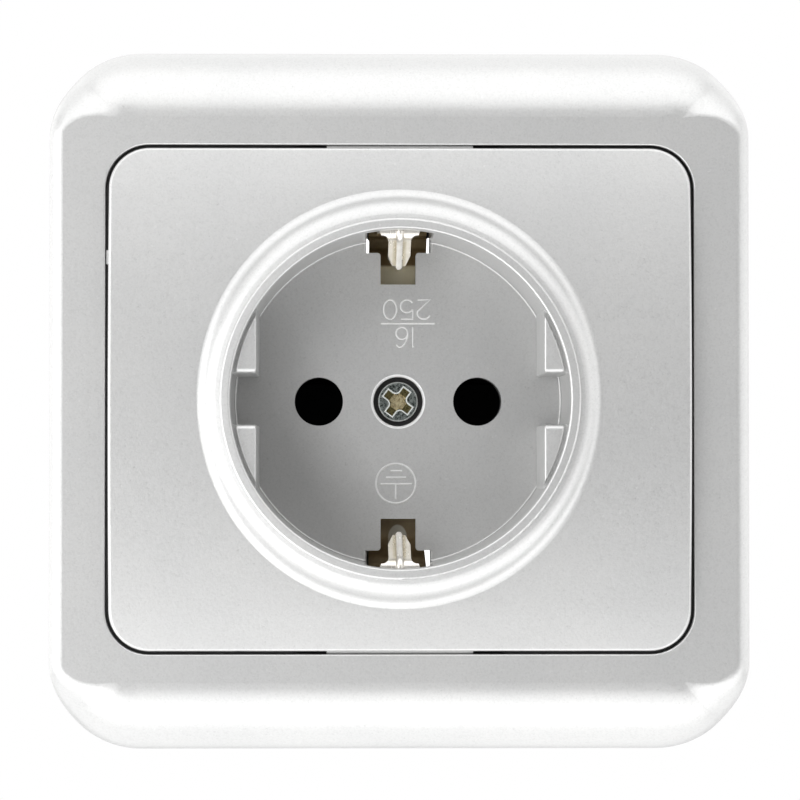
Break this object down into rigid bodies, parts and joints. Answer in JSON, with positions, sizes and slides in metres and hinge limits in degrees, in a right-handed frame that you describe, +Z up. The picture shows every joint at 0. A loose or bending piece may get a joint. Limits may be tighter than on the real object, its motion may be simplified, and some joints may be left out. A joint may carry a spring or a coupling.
{
  "type": "earthed wall socket",
  "caption": "Flush earthed wall socket: square cover frame, domed centre plate with a round recessed plug well, side earth clips, and the insert with contacts and terminals.",
  "frame": {"origin": "on the axis of the plug well, at the wall's surface, midway between the box screws", "axes": "-Y towards the room, +Y into the wall box, +X right and +Z up as seen from the room"},
  "size_m": [0.0816, 0.0408, 0.082],
  "materials": {
    "silver_plastic": "satin, fine metallic flake",
    "black_plastic": "matt",
    "grey_plastic": "matt",
    "zinc_steel": "zinc plated",
    "screw_steel": "zinc plated",
    "clamp_steel": "zinc plated",
    "spring_steel": "plain",
    "nickel_brass": "nickel plated",
    "brass": "plain"
  },
  "bodies": {
    "root": {"cover_frame": "silver_plastic", "centre_plate": "silver_plastic", "centre_screw": "screw_steel", "support_ring": "zinc_steel", "ring_rivets": "zinc_steel", "insert_base": "black_plastic", "contact_cover": "grey_plastic", "cover_screws": "screw_steel", "earth_strap": "nickel_brass", "earth_bracket": "nickel_brass", "strap_rivets": "brass", "screw_bush": "brass", "right_contact": "brass", "left_contact": "brass", "right_contact_spring": "spring_steel", "left_contact_spring": "spring_steel", "right_clamp": "clamp_steel", "left_clamp": "clamp_steel", "earth_clamp": "clamp_steel", "right_clamp_screw": "screw_steel", "left_clamp_screw": "screw_steel", "earth_clamp_screw": "screw_steel"}
  },
  "joints": []
}
